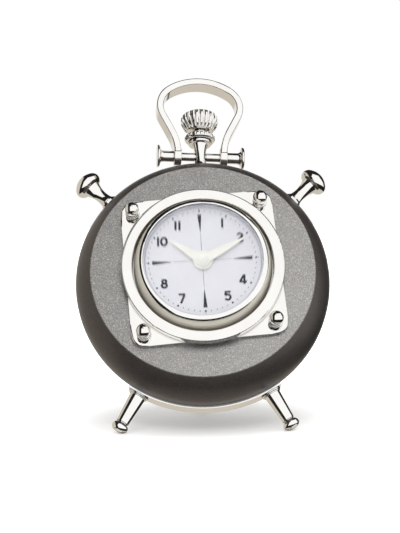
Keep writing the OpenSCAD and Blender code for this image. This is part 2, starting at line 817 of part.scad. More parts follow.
// strap section of the bow, flat with rounded edges, made smaller by d on every side
module strap2d(d = 0) {
  a = bow_t / 2 - d;
  b = bow_w / 2 - d;
  square([2 * a, 2 * (b - bow_edge)], center = true);
  square([2 * (a - bow_edge), 2 * b], center = true);
  for (x = [-1, 1], y = [-1, 1]) translate([x * (a - bow_edge), y * (b - bow_edge)])
    circle(r = bow_edge);
}

// sweeps the strap along an arc in the bow's plane: centre, radius, start angle, sweep
module strap_arc(c, r, a0, sweep, d = 0) {
  translate([c[0], c[1], 0]) rotate([0, 0, a0])
    rotate_extrude(angle = sweep) translate([r, 0]) strap2d(d);
}

// the bow: top arc, corner arc, straight and outswept foot down to the eye, all tangent;
// the neighbours lap by a hair, one a hundredth slimmer, so that they join cleanly
module bow() {
  lap = 1.2;
  color(nickel) top_part() difference() {
    union() {
      strap_arc(bow_c1, bow_top_r, 90 - bow_a, 2 * bow_a);
      for (s = [0, 1]) mirror([s, 0, 0]) {
        strap_arc(bow_c2, bow_corner_r, -bow_slope - lap, 90 - bow_a + bow_slope + 2 * lap, skin);
        translate([bow_p3[0], bow_p3[1], 0]) rotate([0, 0, -bow_slope]) rotate([-90, 0, 0])
          linear_extrude(bow_len) strap2d();
        strap_arc(bow_c3, bow_foot_r, 180 - bow_slope - lap / 2, bow_slope + lap / 2, skin);
        translate([eye_x, bar_y, 0]) rotate([0, 90, 0]) rotate_extrude() {
          ring2d(0, eye_r, -eye_t / 2 + eye_round, eye_t / 2 - eye_round);
          ring2d(0, eye_r - eye_round, -eye_t / 2, eye_t / 2);
          for (q = [-1, 1]) translate([eye_r - eye_round, q * (eye_t / 2 - eye_round)])
            circle(r = eye_round);
        }
      }
    }
    translate([0, bar_y, 0]) rotate([0, 90, 0]) rod(journal_d + 2 * run_gap, -bow_span, bow_span);
  }
}

// push button drawn along +z from the drum's axis: threaded tail, coned foot flange,
// waisted neck and a domed head like a door knob
module pusher(s) {
  foot_top = R + pusher_foot_h;
  rim_top = R + 0.55 * pusher_foot_h;
  waist = foot_top + 0.35 * pusher_neck_len;
  head = foot_top + pusher_neck_len;
  color(nickel) tilt() {
    difference() {
      radial(s * pusher_ang, z_mid) rotate_extrude() {
        ring2d(0, pusher_foot_d / 2, R - 1, rim_top);
        polygon([[0, R], [pusher_foot_d / 2, rim_top],
          [0.84 * pusher_foot_d / 2, foot_top], [0, foot_top]]);
        translate([0, waist]) mirror([0, 1])
          flare2d(pusher_waist_d / 2, 0.78 * pusher_foot_d / 2, waist - foot_top + 0.1);
        translate([0, waist])
          flare2d(pusher_waist_d / 2, pusher_neck_d / 2, head - waist);
        ring2d(0, pusher_neck_d / 2, head - 0.1, head + pusher_back_h);
        intersection() {
          translate([pusher_head_d / 2 - pusher_round, head + pusher_back_h])
            circle(r = pusher_round);
          ring2d(0, pusher_head_d / 2, head - 1, head + pusher_back_h);
        }
        translate([0, head + pusher_back_h])
          button2d(pusher_head_d / 2, pusher_round, pusher_dome_h);
      }
      translate([0, 0, z_back]) rod(body_d + 2 * skin, 0, body_depth);
    }
    radial(s * pusher_ang, z_mid) rod(stud_d, R - 2 * wall, R + 0.1);
  }
}
module pusher_left() {
  pusher(1);
}
module pusher_right() {
  pusher(-1);
}

// nickel band under the drum; the front legs clamp it through its ends
module cradle_band() {
  half = leg_splay + band_end / band_r * 180 / PI;
  color(nickel) tilt() difference() {
    rotate([0, 0, 270 - half]) rotate_extrude(angle = 2 * half) difference() {
      translate([R - wall, stand_z - band_w / 2]) square([band_r - R + wall, band_w]);
      translate([arc_x, zb]) circle(r = arc_r + fit_gap);
      ring2d(0, R + fit_gap, zb, 0);
    }
    for (a = [-1, 1]) radial(180 + a * leg_splay, stand_z)
      rod(stud_d + 2 * tail_gap, R - 2 * wall, band_r + 1);
  }
}

// one tapered leg drawn along +z, from the seat at z = 0 to the foot's neck
module leg_solid(len) {
  rt = leg_top_d / 2;
  rl = leg_low_d / 2;
  rotate_extrude() intersection() {
    right_half();
    union() {
      polygon([[0, -0.6], [rt, -0.6], [rt, leg_ring_t], [rl, len], [0, len]]);
      pill2d(leg_ring_d / 2, leg_ring_t, 0.3 * leg_ring_t);
      pill2d((leg_ring_d + leg_top_d) / 4, 0.7 * leg_ring_t, leg_ring_t);
    }
  }
}

module front_leg(s) {
  a = 180 + s * leg_splay;
  color(nickel) tilt() {
    difference() {
      radial(a, stand_z) translate([0, 0, band_r]) leg_solid(leg_len);
      translate([0, 0, z_back - band_w]) rod(2 * band_r + 2 * skin, 0, body_depth + band_w);
    }
    radial(a, stand_z) rod(stud_d, R - 2 * wall, band_r + 0.3);
    radial(a, stand_z) rod(leg_pin_d, band_r + leg_len - 0.1, band_r + leg_len + tail_len - 0.2);
  }
}
module leg_left() {
  front_leg(-1);
}
module leg_right() {
  front_leg(1);
}

module leg_rear() {
  len = rear_len - foot_e - foot_neck;
  color(nickel) tilt() translate([0, rear_y, z_back]) rotate([180, 0, 0]) {
    difference() {
      leg_solid(len);
      rod(2 * leg_ring_d, -5, 0);
    }
    rod(stud_d, -back_wall, 0.2);
    rod(leg_pin_d, len - 0.1, len + tail_len - 0.2);
  }
}

// button foot drawn along +z with its widest circle at z = 0
module foot_solid() {
  dome = foot_r + 2 * foot_e;
  rotate_extrude() difference() {
    union() {
      pill2d(foot_r, foot_t, 0);
      ring2d(0, 0.84 * leg_low_d / 2, -foot_e - foot_neck + skin, 0);
      intersection() {
        translate([0, foot_e + foot_dome - dome]) circle(r = dome);
        ring2d(0, sqrt(dome * dome - pow(dome - foot_dome, 2)), 0, foot_t);
      }
    }
    ring2d(-1, leg_pin_d / 2 + tail_gap, -foot_t, tail_len - foot_neck - foot_e - 0.1);
  }
}

module floor_cut() {
  translate([-body_d, -body_d, -foot_t]) cube([2 * body_d, 2 * body_d, foot_t]);
}

module front_foot(s) {
  color(nickel) difference() {
    tilt() radial(180 + s * leg_splay, stand_z) translate([0, 0, foot_reach]) foot_solid();
    floor_cut();
  }
}
module foot_left() {
  front_foot(-1);
}
module foot_right() {
  front_foot(1);
}

module foot_rear() {
  color(nickel) difference() {
    tilt() translate([0, rear_y, z_back - rear_len]) rotate([180, 0, 0]) foot_solid();
    floor_cut();
  }
}

// front ring of the insert: a flat lip, a rounded face and a skirt that slopes out to its foot
module insert_ring() {
  color(nickel) tilt() rotate_extrude() difference() {
    union() {
      polygon([[can_r + slide_gap, seat_z], [foot_ring_r, seat_z],
        [foot_ring_r, seat_z + ring_foot], skirt, [can_r + slide_gap, skirt[1]]]);
      ring2d(lip_r - 1, ring_cx, dial_z, ring_top);
      intersection() {
        translate([ring_cx, ring_top - ring_round]) circle(r = ring_round);
        ring2d(lip_r - 1, ring_r + ring_round, dial_z, ring_top + 1);
      }
    }
    ring2d(0, lip_r, dial_z, ring_top + 1);
  }
}

// domed crystal
module lens() {
  sr = (lens_r * lens_r + lens_dome * lens_dome) / (2 * lens_dome);
  color([0.85, 0.9, 0.95, 0.3]) tilt() rotate_extrude() intersection() {
    right_half();
    difference() {
      intersection() {
        translate([0, lens_z + lens_t + lens_dome - sr]) circle(r = sr, $fn = 720);
        ring2d(0, lens_r, lens_z, lens_z + lens_t + 2 * lens_dome);
      }
      translate([0, lens_z + lens_dome - skin - sr]) circle(r = sr, $fn = 720);
    }
  }
}

// sloping ring between dial and crystal
module rehaut() {
  z0 = dial_z + dial_t + skin;
  z1 = lens_z - skin;
  ro = lip_r - fit_gap;
  w = 0.7 * dial_space;
  color([0.75, 0.75, 0.78]) tilt() rotate_extrude()
    polygon([[ro - w, z0], [ro, z0], [ro, z1], [ro - 0.4 * w, z1], [ro - w, z0 + 0.2 * w]]);
}

module dial() {
  color([0.88, 0.87, 0.92]) tilt() rotate_extrude()
    ring2d(dial_hole_d / 2, lip_r - seat_gap, dial_z + skin, dial_z + dial_t);
}

// cup that holds the movement
module insert_can() {
  color(black) tilt() difference() {
    rotate_extrude() difference() {
      ring2d(0, can_r, can_z, dial_z);
      ring2d(0, can_r - can_wall, can_z + floor_t, dial_z + 1);
      ring2d(can_r - gasket_groove, can_r + 1, can_z / 2 - fit_gap, can_z / 2 + gasket_w + fit_gap);
    }
    translate([set_pos[0], set_pos[1], 0]) rod(2.2 * set_d, can_z - 1, can_z + 2 * floor_t);
    translate([cell_pos[0], cell_pos[1], 0])
      rod(cover_d + 2 * fit_gap, can_z - 1, can_z + 2 * floor_t);
  }
}

// ribbed rubber band that grips the bore
module gasket() {
  band = gasket_h - 0.4;
  z0 = can_z / 2;
  color([0.08, 0.08, 0.08]) tilt() rotate_extrude() {
    ring2d(can_r - gasket_groove + skin, can_r + band, z0, z0 + gasket_w);
    for (i = [-1 : 1]) translate([can_r + band - skin, z0 + gasket_w / 2 + i * gasket_w / 3])
      circle(r = 0.4, $fn = 32);
  }
}

// plate behind the motion work, with the bearings
module main_plate() {
  color(brass) tilt() difference() {
    rod(2 * move_r, main_z, main_z + main_t);
    rod(pivot_d + 2 * run_gap, main_z - 1, main_z + main_t + 1);
    translate([set_pos[0], set_pos[1], 0])
      rod(set_d + 2 * run_gap, main_z - 1, main_z + main_t + 1);
    at_pillars() rod(rivet_d + 2 * tail_gap, main_z - 1, main_z + main_t + 1);
    translate([mw_pos[0], mw_pos[1], 0])
      rod(pivot_d + 2 * tail_gap, main_z - 1, main_z + main_t + 1);
  }
}

// plate under the dial that keeps the wheels down
module cover_plate() {
  color(brass) tilt() difference() {
    rod(2 * move_r, cover_z, cover_z + cover_t);
    rod(pipe_d + 2 * run_gap, cover_z - 1, cover_z + cover_t + 1);
    translate([mw_pos[0], mw_pos[1], 0])
      rod(pivot_d + 2 * tail_gap, cover_z - 1, cover_z + cover_t + 1);
    at_pillars() rod(rivet_d + 2 * tail_gap, cover_z - 1, cover_z + cover_t + 1);
    for (i = [0 : 2]) rotate([0, 0, i * 120 + 30]) translate([0.65 * move_r, 0, 0])
      rod(0.38 * move_r, cover_z - 1, cover_z + cover_t + 1);
  }
}

// spacers with their rivets, and the fixed post that the minute wheel turns on
module plate_pillars() {
  color(nickel) tilt() {
    at_pillars() {
      rod(rivet_d, main_z, cover_z + cover_t);
      rod(pillar_d, main_z + main_t, cover_z);
    }
    translate([mw_pos[0], mw_pos[1], 0]) rod(pivot_d, main_z, cover_z + cover_t);
  }
}

// moulded frame behind the plates, with wells for cell, coil and board
module movement_housing() {
  side = 0.4;
  coil_w = coil_d + 2.4 + 2 * side;
  color([0.85, 0.85, 0.82]) tilt() difference() {
    rod(2 * move_r, house_z, main_z);
    rod(2.5 * pivot_d, main_z - 1.2, main_z + 1);
    translate([set_pos[0], set_pos[1], 0]) rod(1.5 * set_d, house_z - 1, main_z + 1);
    translate([cell_pos[0], cell_pos[1], 0]) rod(cell_d + 2 * side, house_z - 1, well_top);
    translate([coil_x - side, coil_y - coil_w / 2, house_z - 1])
      cube([coil_len + 3.4 + 2 * side, coil_w, well_top - house_z + 1]);
    translate([board_x - side, board_y - side, house_z - 1])
      cube([board_w + 2 * side, board_h + 2 * side, board_z + board_t + fit_gap - house_z + 1]);
    at_pillars() rod(rivet_d + 2 * side, main_z - 1.5, main_z + 1);
    translate([mw_pos[0], mw_pos[1], 0]) rod(pivot_d + side, main_z - 1.5, main_z + 1);
    // channel from the cell's well to the board
    translate([cell_x - 4.8, board_y + board_h - 2, house_z - 1])
      cube([3, cell_y - board_y - board_h, board_z + board_t + fit_gap - house_z + 1]);
  }
}

// drive coil on its core, both ends flanged
module coil() {
  fl = 0.8;
  end = 0.9;
  color([0.7, 0.35, 0.15]) tilt() translate([coil_x, coil_y, coil_z]) rotate([0, 90, 0])
    rotate_extrude() {
      ring2d(0, 0.3 * coil_d, 0, coil_len + 2 * fl + 2 * end);
      ring2d(0, coil_d / 2, end + fl - skin, end + fl + coil_len + skin);
      ring2d(0, coil_d / 2 + 0.4, end, end + fl);
      ring2d(0, coil_d / 2 + 0.4, end + fl + coil_len, end + 2 * fl + coil_len);
    }
}

// board with the drop of resin over its chip
module circuit_board() {
  blob = 5.4;
  h = 1.3;
  rr = (blob * blob / 4 + h * h) / (2 * h);
  color([0.1, 0.35, 0.2]) tilt() {
    translate([board_x, board_y, board_z]) cube([board_w, board_h, board_t]);
    translate([board_x + 0.6 * board_w, board_y + board_h / 2, board_z]) rotate_extrude()
      intersection() {
        translate([0, rr - h]) circle(r = rr);
        ring2d(0, blob, -h, skin);
      }
  }
}

module battery() {
  step = 0.5;
  color(nickel) tilt() translate([cell_pos[0], cell_pos[1], cell_z]) rotate_extrude() {
    ring2d(0, cell_d / 2 - step, 0, cell_h);
    ring2d(0, cell_d / 2, 2 * step, cell_h - step / 2);
  }
}

// spring strip from the cell to the board
module battery_contact() {
  t = 0.4;
  w = 2.2;
  x0 = cell_x - 4.6;
  y0 = board_y + board_h - 1.4;
  color(brass) tilt() difference() {
    union() {
      translate([x0, y0, board_z - t - 0.2]) cube([w, cell_y - y0, t]);
      translate([x0, y0, board_z - t - 0.2]) cube([w, 1.2, t + 0.2 - skin]);
    }
    translate([cell_pos[0], cell_pos[1], 0]) rod(cell_d + 2 * seat_gap, can_z, 0);
  }
}

// round cover over the cell, with a coin slot
module battery_cover() {
  r = cover_d / 2;
  color(black) tilt() translate([cell_pos[0], cell_pos[1], can_z]) difference() {
    rotate_extrude() {
      ring2d(0, r, 0, floor_t - 0.05);
      ring2d(0, cell_d / 2 + fit_gap, floor_t - 0.1, 1.57 * floor_t);
    }
    translate([-0.65 * r, -0.1 * r, -1]) cube([1.3 * r, 0.2 * r, 1 + floor_t / 2]);
  }
}

module hour_wheel() {
  color(brass) tilt() difference() {
    union() {
      translate([0, 0, hour_z]) rotate([0, 0, 90 + 180 / t_hour])
        linear_extrude(gear_t) gear2d(m_b, t_hour);
      rod(pipe_d, hour_z, hour_hand_z + hand_t + 0.05);
    }
    rod(centre_d + 2 * run_gap, hour_z - 1, minute_hand_z + 1);
    for (i = [0 : 3]) rotate([0, 0, i * 90 + 45]) translate([0.49 * gear_cd, 0, 0])
      rod(0.29 * gear_cd, hour_z - 1, hour_z + gear_t + 1);
  }
}

// hand drawn along +y, wide at the boss and tapering to its tip
module hand2d(len, w, mid_w) {
  t = tip_w / 2;
  polygon([[-w / 2, 0], [w / 2, 0], [mid_w / 2, len / 2], [t, len - t], [0, len],
    [-t, len - t], [-mid_w / 2, len / 2]]);
}

module hour_hand() {
  color(cream) tilt() rotate([0, 0, hour_ang]) difference() {
    union() {
      translate([0, 0, hour_hand_z]) linear_extrude(hand_t)
        hand2d(hour_len, hour_w, hour_mid_w);
      rod(hour_boss_d, hour_hand_z, hour_hand_z + hand_t);
      rod(0.7 * hour_boss_d, hour_hand_z - 0.3, hour_hand_z + 0.1);
    }
    rod(pipe_d + tail_gap, hour_hand_z - 1, hour_hand_z + 1);
  }
}

// centre arbor with the minute pinion on it
module cannon_pinion() {
  color(brass) tilt() {
    translate([0, 0, mw_z - 0.1]) rotate([0, 0, 90]) linear_extrude(gear_t + 0.2)
      gear2d(m_a, t_cannon);
    rod(pivot_d, main_z - 0.9, mw_z);
    rod(centre_d, mw_z - 0.1, minute_hand_z - skin);
    rod(pivot_d, minute_hand_z - 0.1, cap_z + 0.65 * cap_h);
  }
}

module minute_hand() {
  color(cream) tilt() rotate([0, 0, min_ang]) difference() {
    union() {
      translate([0, 0, minute_hand_z]) linear_extrude(hand_t)
        hand2d(minute_len, minute_w, minute_mid_w);
      rod(minute_boss_d, minute_hand_z, minute_hand_z + hand_t);
    }
    rod(pivot_d + tail_gap, minute_hand_z - 1, minute_hand_z + 1);
  }
}

module hand_cap() {
  rr = (cap_d * cap_d / 4 + cap_h * cap_h) / (2 * cap_h);
  color(cream) tilt() translate([0, 0, cap_z]) rotate_extrude() difference() {
    intersection() {
      right_half();
      translate([0, cap_h - rr]) circle(r = rr);
      ring2d(0, cap_d, 0, cap_h);
    }
    ring2d(-1, pivot_d / 2 + tail_gap / 2, -1, 0.7 * cap_h);
  }
}

module minute_wheel() {
  color(brass) tilt() translate([mw_pos[0], mw_pos[1], 0]) difference() {
    union() {
      translate([0, 0, mw_z]) rotate([0, 0, 90 + 180 / t_mwheel])
        linear_extrude(gear_t) gear2d(m_a, t_mwheel);
      translate([0, 0, mw_z + gear_t - 0.1]) rotate([0, 0, 90])
        linear_extrude(hour_z - mw_z + 0.6) gear2d(m_b, t_mpinion);
    }
    rod(pivot_d + 2 * run_gap, mw_z - 1, cover_z);
    for (i = [0 : 4]) rotate([0, 0, i * 72 + 90]) translate([0.455 * gear_cd, 0, 0])
      rod(0.24 * gear_cd, mw_z - 1, mw_z + gear_t + 1);
  }
}

// turn that brings the set pinion's gap in line with the minute wheel's tooth
function set_phase() = let (
    wheel_tooth = 90 + 180 / t_mwheel,
    off = (set_dir - wheel_tooth) / (360 / t_mwheel),
    frac = off - floor(off))
  180 / t_cannon + frac * 360 / t_cannon;

// setting shaft that drives the minute wheel from behind
module set_arbor() {
  color(brass) tilt() translate([set_pos[0], set_pos[1], 0]) {
    translate([0, 0, mw_z - 0.1]) rotate([0, 0, set_dir + 180 + set_phase()])
      linear_extrude(gear_t + 0.1) gear2d(m_a, t_cannon);
    rod(set_d, can_z - knob_gap - 0.6 * knob_t, mw_z + gear_t + 0.3);
  }
}

module set_knob() {
  r = knob_d / 2;
  grip = 20;
  top = can_z - knob_gap;
  color(black) tilt() translate([set_pos[0], set_pos[1], top - knob_t]) difference() {
    rotate_extrude() {
      ring2d(0, r, 0.18 * knob_t, 0.9 * knob_t);
      ring2d(0, 0.9 * r, 0, knob_t);
    }
    rod(set_d + tail_gap, 0.35 * knob_t, knob_t + 1);
    for (i = [0 : grip - 1]) rotate([0, 0, i * 360 / grip]) translate([1.04 * r, 0, 0])
      rod(0.2 * r, -1, knob_t + 1);
  }
}

body_shell();
back_cover();
back_screws();
face_plate();
bezel_ring();
ball_posts();
post_nuts();
stem();
stem_nut();
collar();
crown();
cross_bar();
bar_sleeves();
bow();
pusher_left();
pusher_right();
cradle_band();
leg_left();
leg_right();
leg_rear();
foot_left();
foot_right();
foot_rear();
insert_ring();
lens();
rehaut();
dial();
insert_can();
gasket();
main_plate();
cover_plate();
plate_pillars();
movement_housing();
coil();
circuit_board();
battery();
battery_contact();
battery_cover();
hour_wheel();
hour_hand();
cannon_pinion();
minute_hand();
hand_cap();
minute_wheel();
set_arbor();
set_knob();
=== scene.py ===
# %% [markdown]
# # A leaning table clock in the shape of a pocket watch
# The clock is a painted drum on three turned nickel legs. A quartz insert with its own
# crystal, dial and hands is pushed into the front, and a stem, crown and swinging bow sit
# on top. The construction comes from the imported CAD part, so this lesson is about looks:
# the finish of every surface, the print on the dial, the light and the camera.

import json
import math

import bpy
from mathutils import Matrix, Vector


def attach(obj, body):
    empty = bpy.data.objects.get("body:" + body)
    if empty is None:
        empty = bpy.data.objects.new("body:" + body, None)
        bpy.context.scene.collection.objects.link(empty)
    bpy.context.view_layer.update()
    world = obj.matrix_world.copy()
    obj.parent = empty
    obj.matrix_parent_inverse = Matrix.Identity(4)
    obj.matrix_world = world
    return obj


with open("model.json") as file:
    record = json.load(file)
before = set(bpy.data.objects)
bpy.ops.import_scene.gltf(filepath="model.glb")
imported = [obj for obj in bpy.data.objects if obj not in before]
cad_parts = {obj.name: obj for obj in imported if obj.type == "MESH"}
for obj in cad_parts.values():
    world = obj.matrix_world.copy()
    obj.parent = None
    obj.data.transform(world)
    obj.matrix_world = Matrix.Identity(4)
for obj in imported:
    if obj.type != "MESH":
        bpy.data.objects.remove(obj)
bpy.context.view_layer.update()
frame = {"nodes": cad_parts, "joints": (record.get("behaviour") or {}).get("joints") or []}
MM = 0.001

# %% [markdown]
# ## Where the face is
# The clock leans back, so it helps to work in its own directions: right, up along the face
# and out of the face. They come from the axis that the minute hand turns on. Heights along
# the "out" direction are then read from the nodes themselves, and nothing is fitted by hand.

# %% The clock's own directions
joints = {j["name"]: j for j in frame["joints"]}
centre_axis = joints["minute_turn"]
OUT = -Vector(centre_axis["axis"]).normalized()
RIGHT = Vector((1, 0, 0))
UP = OUT.cross(RIGHT).normalized()


def reach(node, direction):
    """How far a node goes along a direction, in metres."""
    return max(v.co.dot(direction) for v in frame["nodes"][node].data.vertices)


axis_point = Vector(centre_axis["pos_m"])
FACE = axis_point + OUT * (reach("body_shell", OUT) - axis_point.dot(OUT))
dial_height = reach("dial", OUT) - FACE.dot(OUT)
LEAN = math.degrees(math.asin(OUT.z))
# x right, y up along the face, z out of it
TO_CLOCK = Matrix((RIGHT, UP, OUT)).to_4x4()
TO_CLOCK.translation = -(TO_CLOCK.to_3x3() @ FACE)
FROM_CLOCK = TO_CLOCK.inverted()
print(f"the face leans back {LEAN:.1f} degrees")
print("its middle is at (mm):", [round(v / MM, 1) for v in FACE])
print(f"the dial's surface is {dial_height / MM:.2f} mm in front of the painted face")

# %% [markdown]
# ## A short way to build materials
# Every finish here is a Principled shader with a few texture nodes in front of it. A small
# helper makes the shader and another one adds nodes and links, so that each material below
# reads as a short list of what the surface really has.


# %% Node helpers
def new_material(name, **sockets):
    """A Principled material with plain values set on its own sockets."""
    mat = bpy.data.materials.new(name)
    mat.use_nodes = True
    shader = mat.node_tree.nodes["Principled BSDF"]
    for key, value in sockets.items():
        shader.inputs[key.replace("_", " ")].default_value = value
    return mat, shader


def add(owner, kind, inputs=None, **settings):
    """Adds one node to a material or a world.

    settings are the node's properties, inputs its sockets, as values or links.
    """
    node = owner.node_tree.nodes.new("ShaderNode" + kind)
    for key, value in settings.items():
        setattr(node, key, value)
    for key, value in (inputs or {}).items():
        if isinstance(value, bpy.types.NodeSocket):
            owner.node_tree.links.new(value, node.inputs[key])
        else:
            node.inputs[key].default_value = value
    return node


def link(owner, source, target):
    owner.node_tree.links.new(source, target)


def noise(mat, size_mm, detail=3.0, roughness=0.5, vector=None):
    """Noise whose grains are about size_mm across."""
    where = vector or add(mat, "TexCoord").outputs["Object"]
    return add(mat, "TexNoise", {"Vector": where, "Scale": 1 / (size_mm * MM), "Detail": detail,
                                 "Roughness": roughness}).outputs["Fac"]


def ramp(mat, fac, *stops):
    """Maps 0 to 1 onto colours or greys: each stop is (position, value)."""
    node = add(mat, "ValToRGB", {"Fac": fac})
    bar = node.color_ramp
    while len(bar.elements) < len(stops):
        bar.elements.new(0.5)
    for element, (position, value) in zip(bar.elements, stops):
        element.position = position
        grey = isinstance(value, (int, float))
        element.color = (value, value, value, 1) if grey else (*value, 1)
    return node.outputs["Color"]


def bump(mat, shader, height, distance_mm, strength=1.0):
    node = add(mat, "Bump", {"Height": height, "Distance": distance_mm * MM, "Strength": strength})
    link(mat, node.outputs["Normal"], shader.inputs["Normal"])


# %% [markdown]
# ## Paint of the drum
# The drum is sprayed with a metallic paint: a grey-brown base full of tiny flakes that
# catch the light. The rolled rim is given a darker copy of the face's colour, with a clear
# edge between the two: painted shade for the rim turning away from the light. Flakes are
# finer than any mesh, so they are a cell texture that makes some grains lighter and tilts
# others through a bump. Which of the two shades a point gets comes from its place in the
# clock: the face is a plane, so distance to that plane decides.


# %% Coordinates along the face

def clock_coordinates(mat):
    """Object coordinates turned into the clock's own directions, in metres."""
    where = add(mat, "TexCoord").outputs["Object"]
    parts = []
    for direction in (RIGHT, UP, OUT):
        along = add(mat, "VectorMath", {0: where, 1: direction}, operation="DOT_PRODUCT")
        shift = add(mat, "Math", {0: along.outputs["Value"], 1: FACE.dot(direction)},
                    operation="SUBTRACT")
        parts.append(shift.outputs["Value"])
    both = add(mat, "CombineXYZ", {"X": parts[0], "Y": parts[1], "Z": parts[2]})
    return both.outputs["Vector"], parts


# %% Metallic paint
FACE_SHADE = (0.184, 0.179, 0.171)
# the rim's colour is a darker copy of the face's: painted shade for the rim turning away from the
# light
RIM_PAINTED_SHADE = (0.084, 0.072, 0.066)
# from the darkest flake to the lightest: (place in the range, times the shade)
FACE_FLAKES = ((0.0, 0.55), (0.5, 1.0), (0.85, 1.30), (1.0, 2.6))
RIM_FLAKES = ((0.0, 0.80), (0.6, 1.0), (1.0, 1.45))
FLAKE_MM = 0.26
# the step from the face's colour to the rim's painted shade lies from 0.45 to 0.15 mm behind the
# face
RIM_SHADE_STEP_MM = (0.45, 0.15)
UNEVENNESS = 0.22


def flake_stops(shade, flakes):
    return [(place, tuple(c * times for c in shade)) for place, times in flakes]


def paint():
    mat, shader = new_material("metallic_paint", Metallic=0.62, Coat_Weight=0.15,
                               Coat_Roughness=0.35)
    where, (_, _, out) = clock_coordinates(mat)
    step = add(mat, "MapRange", {"Value": out, "From Min": -RIM_SHADE_STEP_MM[0] * MM,
                                 "From Max": -RIM_SHADE_STEP_MM[1] * MM})
    cells = add(mat, "TexVoronoi", {"Vector": where, "Scale": 1 / (FLAKE_MM * MM)}, feature="F1")
    flake = add(mat, "SeparateColor", {"Color": cells.outputs["Color"]}).outputs["Red"]
    cloud = noise(mat, 9, 2, vector=where)
    face = ramp(mat, flake, *flake_stops(FACE_SHADE, FACE_FLAKES))
    # the rim gets the darker copy of the paint: painted shade
    rim = ramp(mat, flake, *flake_stops(RIM_PAINTED_SHADE, RIM_FLAKES))
    shade = add(mat, "Mix", {0: step.outputs["Result"], 6: rim, 7: face}, data_type="RGBA")
    patches = ramp(mat, cloud, (0.3, 0.72), (0.7, 1.0))
    uneven = add(mat, "Mix", {0: UNEVENNESS, 6: shade.outputs[2], 7: patches},
                 data_type="RGBA", blend_type="MULTIPLY")
    link(mat, uneven.outputs[2], shader.inputs["Base Color"])
    link(mat, ramp(mat, flake, (0, 0.34), (1, 0.48)), shader.inputs["Roughness"])
    height = add(mat, "Math", {0: flake, 1: noise(mat, 0.8, 3, vector=where)}, operation="ADD")
    bump(mat, shader, height.outputs["Value"], 0.03, 0.55)
    return mat


# %% [markdown]
# ## Polished nickel
# Nearly everything else is nickel plate over turned or cast brass. It is a mirror with a
# warm tint, so most of its look is what it reflects. Three small things keep it from looking
# like plastic chrome: the polish is not perfect, so the roughness wanders a little, the
# surface has a very shallow waviness left by the buffing wheel, and inner corners are
# coloured a deep brown. That brown is painted shade for the shade and dark reflections in
# corners and grooves, with a little tarnish where no wheel reaches. Ambient occlusion finds
# those corners, since it is dark wherever another surface is close.


# %% Nickel
POLISH = (0.03, 0.09)
WAVE_MM, WAVE_DEPTH_MM = 6.0, 0.004
CORNER_MM = 1.8


def nickel(name):
    """Returns the material, its shader, and its roughness and colour for further use."""
    mat, shader = new_material(name, Metallic=1.0)
    where = add(mat, "TexCoord").outputs["Object"]
    haze = noise(mat, 4.0, 4, 0.6, where)
    rough = ramp(mat, haze, (0.35, POLISH[0]), (0.75, POLISH[1]))
    tint = noise(mat, 14.0, 2, 0.5, where)
    clean = ramp(mat, tint, (0.3, (0.90, 0.885, 0.855)), (0.7, (0.935, 0.925, 0.90)))
    # inner corners turn deep brown: painted shade, with a little tarnish
    open_air = add(mat, "AmbientOcclusion", {"Distance": CORNER_MM * MM}, samples=4).outputs["AO"]
    painted_corner_shade_and_tarnish = ramp(mat, open_air, (0.25, (0.14, 0.12, 0.10)), (0.66, 1.0))
    colour = add(mat, "Mix", {0: 1.0, 6: clean, 7: painted_corner_shade_and_tarnish}, data_type="RGBA", blend_type="MULTIPLY")
    link(mat, colour.outputs[2], shader.inputs["Base Color"])
    bump(mat, shader, noise(mat, WAVE_MM, 2, 0.4, where), WAVE_DEPTH_MM)
    return mat, shader, rough, colour.outputs[2]


def polished(name):
    mat, shader, rough, _ = nickel(name)
    link(mat, rough, shader.inputs["Roughness"])
    return mat


# %% [markdown]
# ## The insert's ring
# This ring is plated as well, but only its face is polished. Its skirt keeps fine turning
# lines and looks beige and matt in the photo. Left as a mirror it would show the dark gap of
# the studio as a black band. Its beige colour is a painted reflection of the warm paper, and
# less metal lets matt light add to it. One material does both: the distance from the clock's
# axis picks the finish, and noise stretched round that axis draws the lines.

# %% Turned skirt
SKIRT_FROM_MM, SKIRT_STEP_MM = 30.9, 0.5
SKIRT_METALLIC = 0.5


def turned_skirt(name):
    mat, shader, rough, colour = nickel(name)
    _, (right, up, out) = clock_coordinates(mat)
    flat = add(mat, "CombineXYZ", {"X": right, "Y": up}).outputs["Vector"]
    radius = add(mat, "VectorMath", {0: flat}, operation="LENGTH").outputs["Value"]
    step = add(mat, "MapRange", {"Value": radius, "From Min": SKIRT_FROM_MM * MM,
                                 "From Max": (SKIRT_FROM_MM + SKIRT_STEP_MM) * MM})
    skirt = step.outputs["Result"]
    ring = add(mat, "CombineXYZ", {"X": radius, "Y": out}).outputs["Vector"]
    lines = noise(mat, 0.28, 3, 0.6, ring)
    satin = ramp(mat, lines, (0.3, 0.34), (0.7, 0.48))
    bare = add(mat, "MapRange", {"Value": skirt, "To Min": 1.0, "To Max": SKIRT_METALLIC})
    link(mat, bare.outputs["Result"], shader.inputs["Metallic"])
    both = add(mat, "Mix", {0: skirt, 6: rough, 7: satin}, data_type="RGBA")
    link(mat, both.outputs[2], shader.inputs["Roughness"])
    # the skirt's beige is a painted reflection of the warm paper
    painted_beige_reflection = ramp(mat, lines, (0.3, (0.88, 0.83, 0.72)), (0.7, (0.96, 0.92, 0.82)))
    tone = add(mat, "Mix", {0: skirt, 6: colour, 7: painted_beige_reflection}, data_type="RGBA")
    link(mat, tone.outputs[2], shader.inputs["Base Color"])
    return mat


# %% [markdown]
# ## Parts of the insert
# Steel nuts and screws have turning marks, brass plates and wheels keep fine brushed lines,
# the copper coil shows its windings, the moulded plastic has the dull grain of a spark-eroded
# mould, and rubber is duller still. Marks and lines are noise that is stretched one way.


